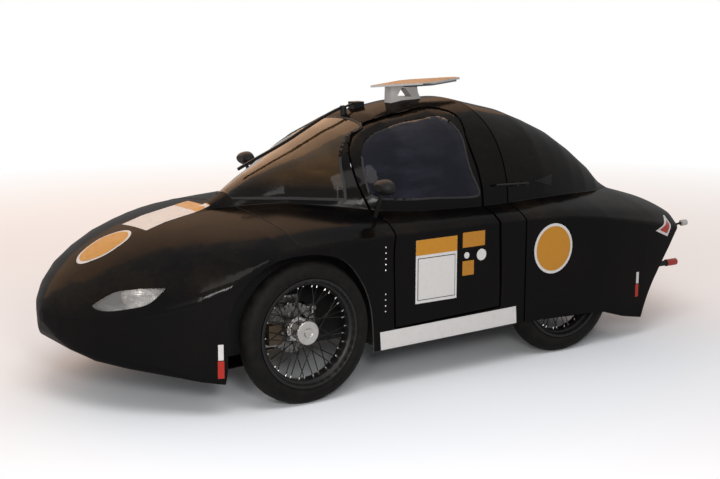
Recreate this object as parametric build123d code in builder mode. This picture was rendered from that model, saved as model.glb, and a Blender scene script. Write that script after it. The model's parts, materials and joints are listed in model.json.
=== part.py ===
"""Urban concept car: a one-seat, four-wheel efficiency car with a moulded composite body.

Units are millimetres. +X points to the nose, +Y to the car's left and +Z up. The origin is on the
ground, in the middle of the car's length and width. Stations along the body are counted from the
front axle, forward positive, and station() turns them into X.
"""

import math
import os

from build123d import *

os.makedirs("parts", exist_ok=True)

# ---------------------------------------------------------------- driving dimensions
NOSE_STATION = 828.0
TAIL_STATION = -2186.0
FRONT_AXLE_X = -(NOSE_STATION + TAIL_STATION) / 2
WHEELBASE = 1318.0
SKIN = 9.0
SEAM = 8.0

TYRE_RADIUS = 279.0
TYRE_WIDTH = 95.0
SPOKES_PER_SIDE = 18
SPOKE_RADIUS = 2.0
FRONT_WHEEL_Y = 585.0
REAR_WHEEL_Y = 540.0
AXLE_RADIUS = 10.0
RUNNING_CLEARANCE = 0.05

KINGPIN_Y = 462.0
KINGPIN_RADIUS = 9.0
STEER_ARM = 110.0
DISC_RADIUS = 98.0
DISC_Y = -88.0

FRONT_SEAM = 25.0
REAR_SEAM = -1058.0
TUB_WALL_Y = 372.0
TUB_FLOOR_Z = 168.0
TUB_THICKNESS = 22.0

# Body stations, nose to tail: station, half width, crown of the hull, crease height, floor height,
# power of the hull's domed top, then the pod's half width, crown and the level it stands on.
# Where the pod's half width is zero, its crown is how far out the centre panel reaches instead.
BODY = [
    (NOSE_STATION, 24, 366, 345, 322, 0.5, 0, 5, 0),
    (806, 108, 405, 345, 270, 0.5, 0, 20, 0),
    (775, 190, 440, 345, 232, 0.5, 0, 30, 0),
    (720, 300, 490, 352, 203, 0.5, 0, 42, 0),
    (640, 410, 547, 372, 185, 0.5, 0, 55, 0),
    (540, 500, 598, 400, 165, 0.5, 0, 65, 0),
    (430, 575, 640, 435, 144, 0.5, 0, 70, 0),
    (320, 615, 666, 482, 122, 0.5, 0, 70, 0),
    (240, 624, 677, 528, 124, 0.5, 0, 68, 0),
    (170, 625, 686, 562, 127, 0.52, 0, 64, 0),
    (110, 625, 694, 580, 131, 0.54, 66, 703, 630),
    (50, 625, 701, 592, 137, 0.59, 95, 735, 645),
    (FRONT_SEAM, 625, 704, 596, 139, 0.60, 108, 750, 648),
    (-10, 625, 708, 598, 143, 0.61, 125, 772, 650),
    (-80, 625, 716, 602, 147, 0.62, 170, 812, 650),
    (-160, 625, 723, 604, 151, 0.62, 225, 848, 650),
    (-300, 625, 732, 608, 158, 0.62, 365, 908, 650),
    (-450, 626, 734, 611, 162, 0.62, 460, 980, 650),
    (-606, 626, 735, 612, 166, 0.62, 500, 1042, 650),
    (-850, 626, 730, 612, 170, 0.62, 512, 1080, 650),
    (REAR_SEAM, 625, 722, 608, 174, 0.62, 499, 1085, 650),
    (-1300, 621, 707, 597, 163, 0.62, 455, 1027, 650),
    (-1420, 616, 696, 582, 158, 0.62, 418, 982, 638),
    (-1538, 609, 684, 564, 148, 0.62, 378, 931, 620),
    (-1660, 595, 667, 540, 110, 0.62, 330, 857, 600),
    (-1787, 579, 649, 513, 84, 0.62, 268, 768, 580),
    (-1900, 558, 631, 488, 84, 0.62, 205, 672, 560),
    (-1990, 536, 609, 466, 84, 0.62, 0, 130, 0),
    (-2060, 512, 590, 452, 84, 0.62, 0, 115, 0),
    (-2130, 470, 570, 440, 84, 0.62, 0, 100, 0),
    (TAIL_STATION, 405, 545, 428, 84, 0.62, 0, 85, 0),
]
POD_POWER = 2.3
ARCH_FRONT = 440.0
CHIN_RADIUS = 40.0
LOWER_EDGE_RADIUS = 6.0
TUCK = 8.0

# Side-view outlines as (station, height).
ARCH_LIP = [(353, 120), (341, 270), (316, 437), (277, 488), (204, 547), (105, 580), (39, 585),
            (-71, 575), (-161, 542), (-229, 470), (-275, 377), (-295, 254), (-300, 120)]
TAIL_EDGE = [(-1782, 76), (-1797, 116), (-1860, 232), (-1945, 336), (-2029, 426), (-2095, 484), (-2190, 528)]
WINDSHIELD_EDGE = [(-332, 729), (-345, 812), (-362, 866), (-401, 918), (-482, 974), (-552, 1012)]
DOOR_FRONT = [(-402, 246), (-396, 480), (-402, 610), (-412, 680), (-396, 740), (-386, 810),
              (-412, 902), (-494, 971), (-615, 1019), (-760, 1041)]
DOOR_REAR = [(-905, 1050), (-940, 1030), (-915, 960), (-904, 860), (-914, 740), (-916, 600),
             (-922, 440), (-924, 263)]
WINDOW = [(-408, 760), (-414, 840), (-442, 903), (-519, 964), (-675, 1011), (-800, 1026),
          (-880, 1020), (-897, 985), (-884, 900), (-890, 783), (-905, 716), (-860, 709),
          (-653, 720), (-470, 729)]
LAMP_TOP = [(256, 415), (281, 444), (310, 467), (361, 481), (411, 489), (462, 493)]
LAMP_BOTTOM = [(462, 493), (459, 466), (447, 442), (411, 423), (370, 412), (320, 403), (256, 415)]


def station(x):
    """X of a station counted from the front axle."""
    return FRONT_AXLE_X + x


def across(x):
    """The upright plane across the car at a station, with local x along +Y and local y up."""
    return Plane(origin=(station(x), 0, 0), x_dir=(0, 1, 0), z_dir=(1, 0, 0))


def side_view(y):
    """The upright plane along the car at y, with local x along +X, local y up, facing +Y."""
    return Plane(origin=(0, y, 0), x_dir=(1, 0, 0), z_dir=(0, -1, 0))


def save(piece, name):
    """Label a finished piece and write it as its own node."""
    piece.part.label = name
    export_step(piece.part, f"parts/{name}.step")


def body_section(x, row, inset):
    """One closed section: flat floor, upright sides, domed shoulders and the pod between them."""
    half_width, crown, crease, floor, power, pod_width, pod_crown, pod_level = row
    width = half_width - inset
    open_floor = inset > 0 and x <= FRONT_SEAM + 30
    low = floor - 60 if open_floor else floor + inset
    tuck = min(TUCK, width * 0.3)

    def dome(y):
        return crease + (crown - inset - crease) * max(1 - (y / width) ** 2, 0) ** power

    def pod(y):
        reach = min(abs(y) / (pod_width - inset), 1)
        rise = pod_crown - 1.2 * inset - pod_level
        return pod_level + rise * (1 - reach**POD_POWER) ** (1 / POD_POWER)

    junction = pod_crown * width / half_width
    has_pod = pod_width > inset and pod(0) > dome(0)
    if has_pod:
        inside, outside = 0.0, pod_width - inset
        for _ in range(40):
            junction = (inside + outside) / 2
            if pod(junction) > dome(junction):
                inside = junction
            else:
                outside = junction
    top = pod if has_pod else dome
    centre = []
    for k in range(-5, 6):
        y = junction * math.sin(math.radians(18 * k))
        centre.append((y, top(y) if abs(k) < 5 else dome(y)))
    shoulder = []
    for k in range(6):
        y = junction + (width - junction) * math.sin(math.radians(18 * k))
        shoulder.append((y, dome(y)))
    slope = dome(junction + 1) - dome(junction)
    with BuildSketch(across(x)) as section:
        with BuildLine():
            Spline(*centre)
            right = Spline(*shoulder, tangents=[(1, slope), (0, -1)])
            mirror(right, about=Plane.YZ)
            Line(shoulder[-1], (width - tuck, low))
            Line((width - tuck, low), (tuck - width, low))
            Line((tuck - width, low), (-width, shoulder[-1][1]))
        make_face()
        corners = section.vertices().group_by(Axis.Z)[0]
        if x > ARCH_FRONT:
            chin = min(CHIN_RADIUS, 0.35 * (crease - floor), 0.4 * half_width)
            fillet(corners, max(chin - inset, 2.0))
        elif inset == 0:
            fillet(corners, LOWER_EDGE_RADIUS)
        else:
            fillet(corners, 2.0)
    return section.sketch


def tail_cutter(shift):
    """Everything behind the leaning tail panel, moved forward by shift."""
    edge = [(station(x) + shift, z) for x, z in TAIL_EDGE]
    back = station(TAIL_STATION) - 200
    with BuildPart() as cutter:
        with BuildSketch(side_view(0)):
            with BuildLine():
                Line((edge[0][0], -100), edge[0])
                Spline(*edge)
                Line(edge[-1], (back, edge[-1][1]))
                Line((back, edge[-1][1]), (back, -100))
                Line((back, -100), (edge[0][0], -100))
            make_face()
        extrude(amount=900, both=True)
    return cutter.part


def body_mass(front, back, inset):
    """The body between two stations as one solid, drawn in by inset and then run past both ends."""
    rows = [row for row in BODY if back <= row[0] <= front and row[1] > 4 * inset]
    faces = []
    if inset and front < NOSE_STATION:
        faces.append(body_section(front + 30, rows[0][1:], inset))
    for row in rows:
        x = row[0] - inset if row[0] > 700 else row[0]
        faces.append(body_section(x, row[1:], inset))
    if inset and back > TAIL_STATION:
        faces.append(body_section(back - 30, rows[-1][1:], inset))
    with BuildPart() as mass:
        loft(sections=faces, ruled=True)
        if back == TAIL_STATION:
            add(tail_cutter(1.4 * inset), mode=Mode.SUBTRACT)
    return mass.part


def side_prism(outline, near, far, closed_curve=False):
    """A prism across the car over a side-view outline of (station, height), from y=near to y=far."""
    points = [(station(x), z) for x, z in outline]
    with BuildPart() as prism:
        with BuildSketch(side_view(near)):
            with BuildLine():
                if closed_curve:
                    Spline(*points, periodic=True)
                else:
                    Spline(*points)
                    Line(points[-1], points[0])
            make_face()
        extrude(amount=near - far)
    return prism.part


def panel_between(outer, inner):
    """One wall-thick body panel from its outer and inner masses."""
    with BuildPart() as panel:
        add(outer)
        add(inner, mode=Mode.SUBTRACT)
    return panel.part


def lamp_prism(side):
    """A prism running forward over the headlamp's outline as seen from the front."""
    with BuildPart() as prism:
        with BuildSketch(across(480)):
            with BuildLine():
                Spline(*[(side * y, z) for y, z in LAMP_TOP])
                Spline(*[(side * y, z) for y, z in LAMP_BOTTOM])
            make_face()
        extrude(amount=300)
    return prism.part


def rod(start, end, radius, mode=Mode.ADD):
    """A round bar from one point to another, put into the piece being made."""
    line = Vector(*end) - Vector(*start)
    with BuildSketch(Plane(origin=start, z_dir=line)) as section:
        Circle(radius)
    extrude(section.sketch, amount=line.length, mode=mode)


def block(low, high, mode=Mode.ADD):
    """A box between two corners, put into the piece being made."""
    size = [b - a for a, b in zip(low, high)]
    with Locations(tuple((a + b) / 2 for a, b in zip(low, high))):
        Box(*size, mode=mode)


def side_name(side):
    return "left" if side > 0 else "right"


# ---------------------------------------------------------------- body panels
SIDES = (1, -1)
arches = [side_prism(ARCH_LIP + [(-300, -20), (353, -20)], side * 395, side * 700) for side in SIDES]
centre_outer = body_mass(FRONT_SEAM, REAR_SEAM, 0)
centre_inner = body_mass(FRONT_SEAM, REAR_SEAM, SKIN)
rear_outer = body_mass(REAR_SEAM, TAIL_STATION, 0)
nose_panel = panel_between(body_mass(NOSE_STATION, FRONT_SEAM, 0), body_mass(NOSE_STATION, FRONT_SEAM, SKIN))
centre_panel = panel_between(centre_outer, centre_inner)
rear_panel = panel_between(rear_outer, body_mass(REAR_SEAM, TAIL_STATION, SKIN))

with BuildPart() as nose_shell:
    add(nose_panel)
    for cutter in arches:
        add(cutter, mode=Mode.SUBTRACT)
    for side in SIDES:
        add(lamp_prism(side), mode=Mode.SUBTRACT)
save(nose_shell, "nose_shell")

for side in SIDES:
    with BuildPart() as headlamp:
        add(nose_panel)
        add(lamp_prism(side), mode=Mode.INTERSECT)
    save(headlamp, f"headlamp_{side_name(side)}")

windshield_outline = WINDSHIELD_EDGE + [(-560, 1030), (-560, 1100), (100, 1100), (100, 729)]
windshield_prism = side_prism(windshield_outline, -650, 650)
door_outline = DOOR_FRONT + DOOR_REAR
OPENING_GROWTH = 8.0
opening_outline = [(x + OPENING_GROWTH, z) for x, z in DOOR_FRONT[:7]]
opening_outline += [(x + 5, z + OPENING_GROWTH) for x, z in DOOR_FRONT[7:]]
opening_outline += [(-905, 1059), (-952, 1038)]
opening_outline += [(x - OPENING_GROWTH - 4, z) for x, z in DOOR_REAR[2:]]
opening_outline[0] = (DOOR_FRONT[0][0] + OPENING_GROWTH, DOOR_FRONT[0][1] - OPENING_GROWTH)
opening_outline[-1] = (DOOR_REAR[-1][0] - OPENING_GROWTH, DOOR_REAR[-1][1] - OPENING_GROWTH)

with BuildPart() as centre_body:
    add(centre_panel)
    for cutter in arches:
        add(cutter, mode=Mode.SUBTRACT)
    add(windshield_prism, mode=Mode.SUBTRACT)
    for side in SIDES:
        add(side_prism(opening_outline, side * 100, side * 700), mode=Mode.SUBTRACT)
save(centre_body, "centre_body")

with BuildPart() as windshield:
    add(centre_panel)
    add(windshield_prism, mode=Mode.INTERSECT)
save(windshield, "windshield")

for side in SIDES:
    window_prism = side_prism(WINDOW, side * 100, side * 700, closed_curve=True)
    with BuildPart() as door:
        add(centre_panel)
        add(side_prism(door_outline, side * 100, side * 700), mode=Mode.INTERSECT)
        add(window_prism, mode=Mode.SUBTRACT)
    save(door, f"door_{side_name(side)}")
    with BuildPart() as door_glass:
        add(centre_panel)
        add(window_prism, mode=Mode.INTERSECT)
    save(door_glass, f"door_glass_{side_name(side)}")

LID_HINGE = -1765.0
LID_HINGE_Z = 150.0
LID_PIN_RADIUS = 8.0
lid_hinge_x = station(LID_HINGE)
with BuildPart() as rear_shell:
    for side in SIDES:
        near, far = sorted((side * 250, side * 272))
        block((lid_hinge_x - 70, near, LID_HINGE_Z - 20), (lid_hinge_x + 20, far, LID_HINGE_Z + 20))
    add(rear_outer, mode=Mode.INTERSECT)
    add(rear_panel)
    split(bisect_by=across(REAR_SEAM - SEAM), keep=Keep.BOTTOM)
    rod((lid_hinge_x, -300, LID_HINGE_Z), (lid_hinge_x, 300, LID_HINGE_Z),
        LID_PIN_RADIUS + RUNNING_CLEARANCE, mode=Mode.SUBTRACT)
save(rear_shell, "rear_shell")

# ---------------------------------------------------------------- tub, firewall, hoop and seat
TUB_TOP_Z = TUB_FLOOR_Z + TUB_THICKNESS
TUB_SIDE_Y = 650.0
FOOTBOX_FRONT = 480.0
CABIN_FRONT = -347.0
FIREWALL = -1030.0
WALL = 12.0
JACK_PAD = -450.0
JACK_PAD_Y = 430.0
JACK_PAD_LENGTH = 100.0
JACK_PAD_WIDTH = 70.0
JACK_PAD_DROP = 3.0

with BuildPart() as tub:
    block((station(FIREWALL), -TUB_SIDE_Y, TUB_FLOOR_Z), (station(CABIN_FRONT), TUB_SIDE_Y, TUB_TOP_Z))
    block((station(CABIN_FRONT), -TUB_SIDE_Y, TUB_FLOOR_Z), (station(CABIN_FRONT) + WALL, TUB_SIDE_Y, 560))
    add(centre_inner, mode=Mode.INTERSECT)
    block((station(CABIN_FRONT), -TUB_WALL_Y, TUB_FLOOR_Z), (station(FOOTBOX_FRONT), TUB_WALL_Y, TUB_FLOOR_Z + 282))
    block((station(CABIN_FRONT) - 5, WALL - TUB_WALL_Y, TUB_TOP_Z),
          (station(FOOTBOX_FRONT) - WALL, TUB_WALL_Y - WALL, 600), mode=Mode.SUBTRACT)
    block((FRONT_AXLE_X - STEER_ARM - 20, -TUB_WALL_Y - 5, 302),
          (FRONT_AXLE_X - STEER_ARM + 20, TUB_WALL_Y + 5, 342), mode=Mode.SUBTRACT)
    with Locations(*[(station(JACK_PAD), side * JACK_PAD_Y, TUB_FLOOR_Z - JACK_PAD_DROP) for side in SIDES]):
        Box(JACK_PAD_LENGTH, JACK_PAD_WIDTH, TUB_THICKNESS, align=(Align.CENTER, Align.CENTER, Align.MIN))
save(tub, "tub")

with BuildPart() as firewall:
    block((station(FIREWALL), -700, TUB_TOP_Z), (station(FIREWALL) + WALL, 700, 1200))
    add(centre_inner, mode=Mode.INTERSECT)
save(firewall, "firewall")

HOOP_RADIUS = 17.0
HOOP = -985.0
hoop_half = [(540, TUB_TOP_Z), (505, 560), (440, 800), (300, 975), (150, 1040)]
hoop_points = [(station(HOOP), y, z) for y, z in hoop_half]
hoop_points += [(x, -y, z) for x, y, z in reversed(hoop_points)]
with BuildPart() as roll_hoop:
    with BuildLine() as hoop_line:
        FilletPolyline(*hoop_points, radius=120)
    with BuildSketch(Plane(origin=hoop_line.line @ 0, z_dir=hoop_line.line % 0)):
        Circle(HOOP_RADIUS)
    sweep()
    block((station(HOOP) - 40, -600, TUB_FLOOR_Z), (station(HOOP) + 40, 600, TUB_TOP_Z), mode=Mode.SUBTRACT)
save(roll_hoop, "roll_hoop")

SEAT_WIDTH = 420.0
seat_outline = [(-395, TUB_TOP_Z), (-400, 300), (-470, 318), (-640, 262), (-740, 262), (-800, 330),
                (-880, 560), (-905, 790), (-925, 915), (-960, 915), (-945, 780), (-930, 560),
                (-880, 330), (-850, TUB_TOP_Z)]
seat_hollow = [(-425, TUB_TOP_Z - 5), (-428, 276), (-470, 288), (-640, 235), (-740, 235), (-805, TUB_TOP_Z - 5)]
with BuildPart() as seat:
    with BuildSketch(side_view(0)):
        Polygon(*[(station(x), z) for x, z in seat_outline], align=None)
        Polygon(*[(station(x), z) for x, z in seat_hollow], align=None, mode=Mode.SUBTRACT)
    extrude(amount=SEAT_WIDTH / 2, both=True)
save(seat, "seat")

# ---------------------------------------------------------------- wheels
HUB_INNER = -84.0
HUB_OUTER = 28.0
INNER_FLANGE = -50.0
OUTER_FLANGE = 20.0
FLANGE_RADIUS = 48.0
DISC_THICKNESS = 4.0
WHEEL_AXIS = Axis((0, 0, 0), (0, 1, 0))
PROFILE_PLANE = Plane(origin=(0, 0, 0), x_dir=(0, 0, 1), z_dir=(-1, 0, 0))

tread = [(206, 37), (241, TYRE_WIDTH / 2), (266, 37), (TYRE_RADIUS, 12)]
tyre_profile = tread + [(r, -a) for r, a in reversed(tread)]
with BuildPart() as tyre_master:
    with BuildSketch(PROFILE_PLANE):
        Polygon(*tyre_profile, align=None)
    revolve(axis=WHEEL_AXIS)

rim_half = [(213, 43), (213, 40.1), (205.5, 37.4), (205.5, 26.5), (190, 18)]
rim_back = [(184.5, 19), (201, 29), (202, 43)]
rim_profile = rim_half + [(r, -a) for r, a in reversed(rim_half)]
rim_profile += [(r, -a) for r, a in reversed(rim_back)] + rim_back
hub_profile = [(0, HUB_OUTER + 2), (15, HUB_OUTER + 2), (16, HUB_OUTER - 3), (20, HUB_OUTER - 3),
               (20, HUB_OUTER), (FLANGE_RADIUS - 3, HUB_OUTER), (FLANGE_RADIUS, HUB_OUTER - 3),
               (FLANGE_RADIUS, OUTER_FLANGE - 3), (33, OUTER_FLANGE - 7), (33, INNER_FLANGE + 6),
               (FLANGE_RADIUS, INNER_FLANGE + 2),
               (FLANGE_RADIUS, INNER_FLANGE - 2), (32, INNER_FLANGE - 6), (32, HUB_INNER), (0, HUB_INNER)]
with BuildPart() as wheel_master:
    with BuildSketch(PROFILE_PLANE):
        Polygon(*rim_profile, align=None)
        Polygon(*hub_profile, align=None)
    revolve(axis=WHEEL_AXIS)
    for flange, tilt in ((OUTER_FLANGE, 0), (INNER_FLANGE, 10)):
        for k in range(SPOKES_PER_SIDE):
            end_angle = math.radians(k * 360 / SPOKES_PER_SIDE + tilt)
            lean = math.radians(52 if k % 2 else -52)
            rim_offset = 6 if flange > 0 else -6
            start = (42 * math.cos(end_angle + lean), flange, 42 * math.sin(end_angle + lean))
            end = (187 * math.cos(end_angle), rim_offset, 187 * math.sin(end_angle))
            rod(start, end, SPOKE_RADIUS)
    with BuildSketch(Plane.XZ.offset(-HUB_INNER)):
        Circle(AXLE_RADIUS + RUNNING_CLEARANCE)
    extrude(amount=-(HUB_OUTER - 6 - HUB_INNER), mode=Mode.SUBTRACT)

with BuildPart() as disc_master:
    with BuildSketch(Plane.XZ.offset(-DISC_Y)):
        Circle(DISC_RADIUS)
        Circle(DISC_RADIUS - 32, mode=Mode.SUBTRACT)
        Circle(44)
        with PolarLocations(56, 6):
            Rectangle(36, 14, rotation=22)
        Circle(20, mode=Mode.SUBTRACT)
        with PolarLocations(DISC_RADIUS - 5, 28):
            SlotOverall(20, 6, mode=Mode.SUBTRACT)
    extrude(amount=-DISC_THICKNESS)

CORNERS = {"front": (FRONT_AXLE_X, FRONT_WHEEL_Y), "rear": (FRONT_AXLE_X - WHEELBASE, REAR_WHEEL_Y)}
for corner, (axle_x, wheel_y) in CORNERS.items():
    for side in SIDES:
        for master, name in ((tyre_master, "tyre"), (wheel_master, "wheel"), (disc_master, "brake_disc")):
            with BuildPart() as placed:
                if side > 0:
                    add(master.part)
                else:
                    add(master.part.mirror(Plane.XZ))
            placed.part.label = f"{name}_{corner}_{side_name(side)}"
            there = Location((axle_x, side * wheel_y, TYRE_RADIUS))
            export_step(placed.part.moved(there), f"parts/{placed.part.label}.step")

# ---------------------------------------------------------------- front suspension and steering
BOSS_HEIGHT = 149.0
PLATE = 12.0
ARM_GAP = 0.5
BOSS_LOW = TYRE_RADIUS - BOSS_HEIGHT / 2
BOSS_HIGH = TYRE_RADIUS + BOSS_HEIGHT / 2
RACK_Z = 322.0
RACK_X = FRONT_AXLE_X - STEER_ARM
DISC_CENTRE_Y = FRONT_WHEEL_Y + DISC_Y + DISC_THICKNESS / 2

for side in SIDES:
    with BuildPart() as front_arms:
        for low in (BOSS_LOW - ARM_GAP - PLATE, BOSS_HIGH + ARM_GAP):
            with BuildSketch(Plane.XY.offset(low)):
                Polygon((FRONT_AXLE_X - 85, side * 378), (FRONT_AXLE_X + 85, side * 378),
                        (FRONT_AXLE_X + 16, side * KINGPIN_Y), (FRONT_AXLE_X - 16, side * KINGPIN_Y),
                        align=None)
                with Locations((FRONT_AXLE_X, side * KINGPIN_Y)):
                    Circle(20)
                Polygon((FRONT_AXLE_X - 45, side * 392), (FRONT_AXLE_X + 45, side * 392),
                        (FRONT_AXLE_X, side * 432), align=None, mode=Mode.SUBTRACT)
            extrude(amount=PLATE)
        near, far = sorted((side * TUB_WALL_Y, side * 380))
        block((FRONT_AXLE_X - 95, near, BOSS_LOW - 25), (FRONT_AXLE_X + 95, far, BOSS_HIGH + 25))
        rod((FRONT_AXLE_X, side * KINGPIN_Y, BOSS_LOW - 20),
                (FRONT_AXLE_X, side * KINGPIN_Y, BOSS_HIGH + 20), KINGPIN_RADIUS)
    save(front_arms, f"front_arms_{side_name(side)}")

    with BuildPart() as knuckle:
        rod((FRONT_AXLE_X, side * KINGPIN_Y, BOSS_LOW), (FRONT_AXLE_X, side * KINGPIN_Y, BOSS_HIGH), 18)
        rod((FRONT_AXLE_X, side * KINGPIN_Y, TYRE_RADIUS),
                (FRONT_AXLE_X, side * (DISC_CENTRE_Y - 6), TYRE_RADIUS), 18)
        rod((FRONT_AXLE_X, side * KINGPIN_Y, TYRE_RADIUS),
                (FRONT_AXLE_X, side * (FRONT_WHEEL_Y + HUB_OUTER - 8), TYRE_RADIUS), AXLE_RADIUS)
        arm_low, arm_high = sorted((side * (KINGPIN_Y - 10), side * (KINGPIN_Y + 10)))
        block((RACK_X, arm_low, RACK_Z + 11), (FRONT_AXLE_X, arm_high, RACK_Z + 25))
        rod((RACK_X, side * KINGPIN_Y, RACK_Z + 11), (RACK_X, side * KINGPIN_Y, RACK_Z + 25), 22)
        plate_low, plate_high = sorted((side * (KINGPIN_Y + 6), side * (KINGPIN_Y + 17)))
        block((FRONT_AXLE_X, plate_low, TYRE_RADIUS - 18), (FRONT_AXLE_X + 110, plate_high, TYRE_RADIUS + 18))
        rod((FRONT_AXLE_X, side * KINGPIN_Y, BOSS_LOW - 5), (FRONT_AXLE_X, side * KINGPIN_Y, BOSS_HIGH + 5),
            KINGPIN_RADIUS + RUNNING_CLEARANCE, mode=Mode.SUBTRACT)
        rod((RACK_X, side * KINGPIN_Y, RACK_Z), (RACK_X, side * KINGPIN_Y, RACK_Z + 30), 14, mode=Mode.SUBTRACT)
    save(knuckle, f"knuckle_{side_name(side)}")

    with BuildPart() as caliper:
        low_y, high_y = sorted((side * (KINGPIN_Y + 17), side * (DISC_CENTRE_Y + 19)))
        block((FRONT_AXLE_X + 62, low_y, TYRE_RADIUS - 54), (FRONT_AXLE_X + 118, high_y, TYRE_RADIUS + 24))
        slot_low, slot_high = sorted((side * (DISC_CENTRE_Y - 5), side * (DISC_CENTRE_Y + 5)))
        block((FRONT_AXLE_X, slot_low, TYRE_RADIUS - 60),
              (FRONT_AXLE_X + 108, slot_high, TYRE_RADIUS + 40), mode=Mode.SUBTRACT)
    save(caliper, f"caliper_{side_name(side)}")

HOUSING_HALF = 150.0
RACK_RADIUS = 10.0
with BuildPart() as rack_housing:
    rod((RACK_X, -HOUSING_HALF, RACK_Z), (RACK_X, HOUSING_HALF, RACK_Z), 19)
    for side in SIDES:
        near, far = sorted((side * (HOUSING_HALF - 20), side * (HOUSING_HALF - 8)))
        block((RACK_X - 22, near, TUB_TOP_Z), (RACK_X + 22, far, RACK_Z))
    rod((RACK_X, -HOUSING_HALF - 5, RACK_Z), (RACK_X, HOUSING_HALF + 5, RACK_Z),
        RACK_RADIUS + RUNNING_CLEARANCE, mode=Mode.SUBTRACT)
save(rack_housing, "rack_housing")

with BuildPart() as rack:
    rod((RACK_X, -300, RACK_Z), (RACK_X, 300, RACK_Z), RACK_RADIUS)
    rod((RACK_X, -KINGPIN_Y, RACK_Z), (RACK_X, KINGPIN_Y, RACK_Z), 5)
    for side in SIDES:
        rod((RACK_X, side * KINGPIN_Y, RACK_Z - 7), (RACK_X, side * KINGPIN_Y, RACK_Z + 24), 7)
save(rack, "rack")

COLUMN_FOOT = (RACK_X - 20, 0, RACK_Z + 38)
COLUMN_HEAD = (station(-345), 0, 610)
column_line = Vector(*COLUMN_HEAD) - Vector(*COLUMN_FOOT)
WHEEL_RIM = 135.0
wheel_plane = Plane(origin=COLUMN_HEAD, x_dir=(0, 1, 0), z_dir=column_line)
with BuildPart() as steering_wheel:
    rod(COLUMN_FOOT, COLUMN_HEAD, 9)
    with BuildSketch(wheel_plane.offset(-6)):
        Circle(26)
        with PolarLocations(75, 3, start_angle=90):
            Rectangle(110, 26)
    extrude(amount=12)
    with BuildSketch(Plane(origin=wheel_plane.origin + wheel_plane.x_dir * WHEEL_RIM, x_dir=wheel_plane.x_dir,
                           z_dir=wheel_plane.y_dir)):
        Circle(13)
    revolve(axis=Axis(wheel_plane.origin, wheel_plane.z_dir))
save(steering_wheel, "steering_wheel")

bush_centre = Vector(*COLUMN_FOOT) + column_line * 0.62
bush_half = column_line.normalized() * 25
with BuildPart() as dash_bar:
    rod((bush_centre.X, -650, bush_centre.Z), (bush_centre.X, 650, bush_centre.Z), 14)
    add(centre_inner, mode=Mode.INTERSECT)
    rod(tuple(bush_centre - bush_half), tuple(bush_centre + bush_half), 22)
    rod(COLUMN_FOOT, COLUMN_HEAD, 9 + RUNNING_CLEARANCE, mode=Mode.SUBTRACT)
save(dash_bar, "dash_bar")

# ---------------------------------------------------------------- rear frame and motor
RAIL_Y = 300.0
RAIL = 36.0
RAIL_LOW = 190.0
REAR_AXLE_X = FRONT_AXLE_X - WHEELBASE
RAIL_END = station(LID_HINGE) + 5
with BuildPart() as rear_frame:
    for side in SIDES:
        near, far = sorted((side * (RAIL_Y - RAIL / 2), side * (RAIL_Y + RAIL / 2)))
        block((RAIL_END, near, RAIL_LOW), (station(FIREWALL), far, RAIL_LOW + RAIL))
        block((REAR_AXLE_X - 40, near, RAIL_LOW), (REAR_AXLE_X + 40, far, TYRE_RADIUS + 34))
        rod((REAR_AXLE_X, side * RAIL_Y, TYRE_RADIUS),
                (REAR_AXLE_X, side * (REAR_WHEEL_Y + DISC_Y - 8), TYRE_RADIUS), 18)
        rod((REAR_AXLE_X, side * RAIL_Y, TYRE_RADIUS),
                (REAR_AXLE_X, side * (REAR_WHEEL_Y + HUB_OUTER - 8), TYRE_RADIUS), AXLE_RADIUS)
        block((RAIL_END - 17, near, LID_HINGE_Z - 14), (RAIL_END + RAIL, far, RAIL_LOW + RAIL))
    rod((lid_hinge_x, -RAIL_Y, LID_HINGE_Z), (lid_hinge_x, RAIL_Y, LID_HINGE_Z), LID_PIN_RADIUS)
    for x in (RAIL_END + 120, REAR_AXLE_X - 150, REAR_AXLE_X + 90, station(FIREWALL) - RAIL / 2):
        block((x - RAIL / 2, -RAIL_Y, RAIL_LOW), (x + RAIL / 2, RAIL_Y, RAIL_LOW + RAIL))
save(rear_frame, "rear_frame")

with BuildPart() as motor_block:
    block((REAR_AXLE_X - 170, -120, RAIL_LOW + RAIL), (REAR_AXLE_X + 110, 160, RAIL_LOW + RAIL + 220))
    fillet(motor_block.edges().filter_by(Axis.Y), 24)
save(motor_block, "motor_block")

# ---------------------------------------------------------------- roof, mirrors, wiper and lamps
PLATE_FRONT = -702.0
PLATE_WIDEST = -936.0
PLATE_BACK = -1168.0
PLATE_HALF = 90.0
plate_plane = Plane(origin=(station(PLATE_WIDEST), 0, 1149), x_dir=(1, 0, -0.034), z_dir=(0.034, 0, 1))
front_reach = PLATE_FRONT - PLATE_WIDEST
back_reach = PLATE_BACK - PLATE_WIDEST
with BuildPart() as roof_pod:
    with BuildSketch(plate_plane):
        Polygon((front_reach, 0), (20, PLATE_HALF), (-40, PLATE_HALF), (back_reach, 22), (back_reach, -22),
                (-40, -PLATE_HALF), (20, -PLATE_HALF), align=None)
    extrude(amount=9)
    with BuildSketch(plate_plane):
        Polygon((front_reach - 110, 0), (10, PLATE_HALF - 26), (-40, PLATE_HALF - 12), (back_reach + 12, 14),
                (back_reach + 12, -14), (-40, 12 - PLATE_HALF), (10, 26 - PLATE_HALF), align=None)
    extrude(amount=-9)
save(roof_pod, "roof_pod")

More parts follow.
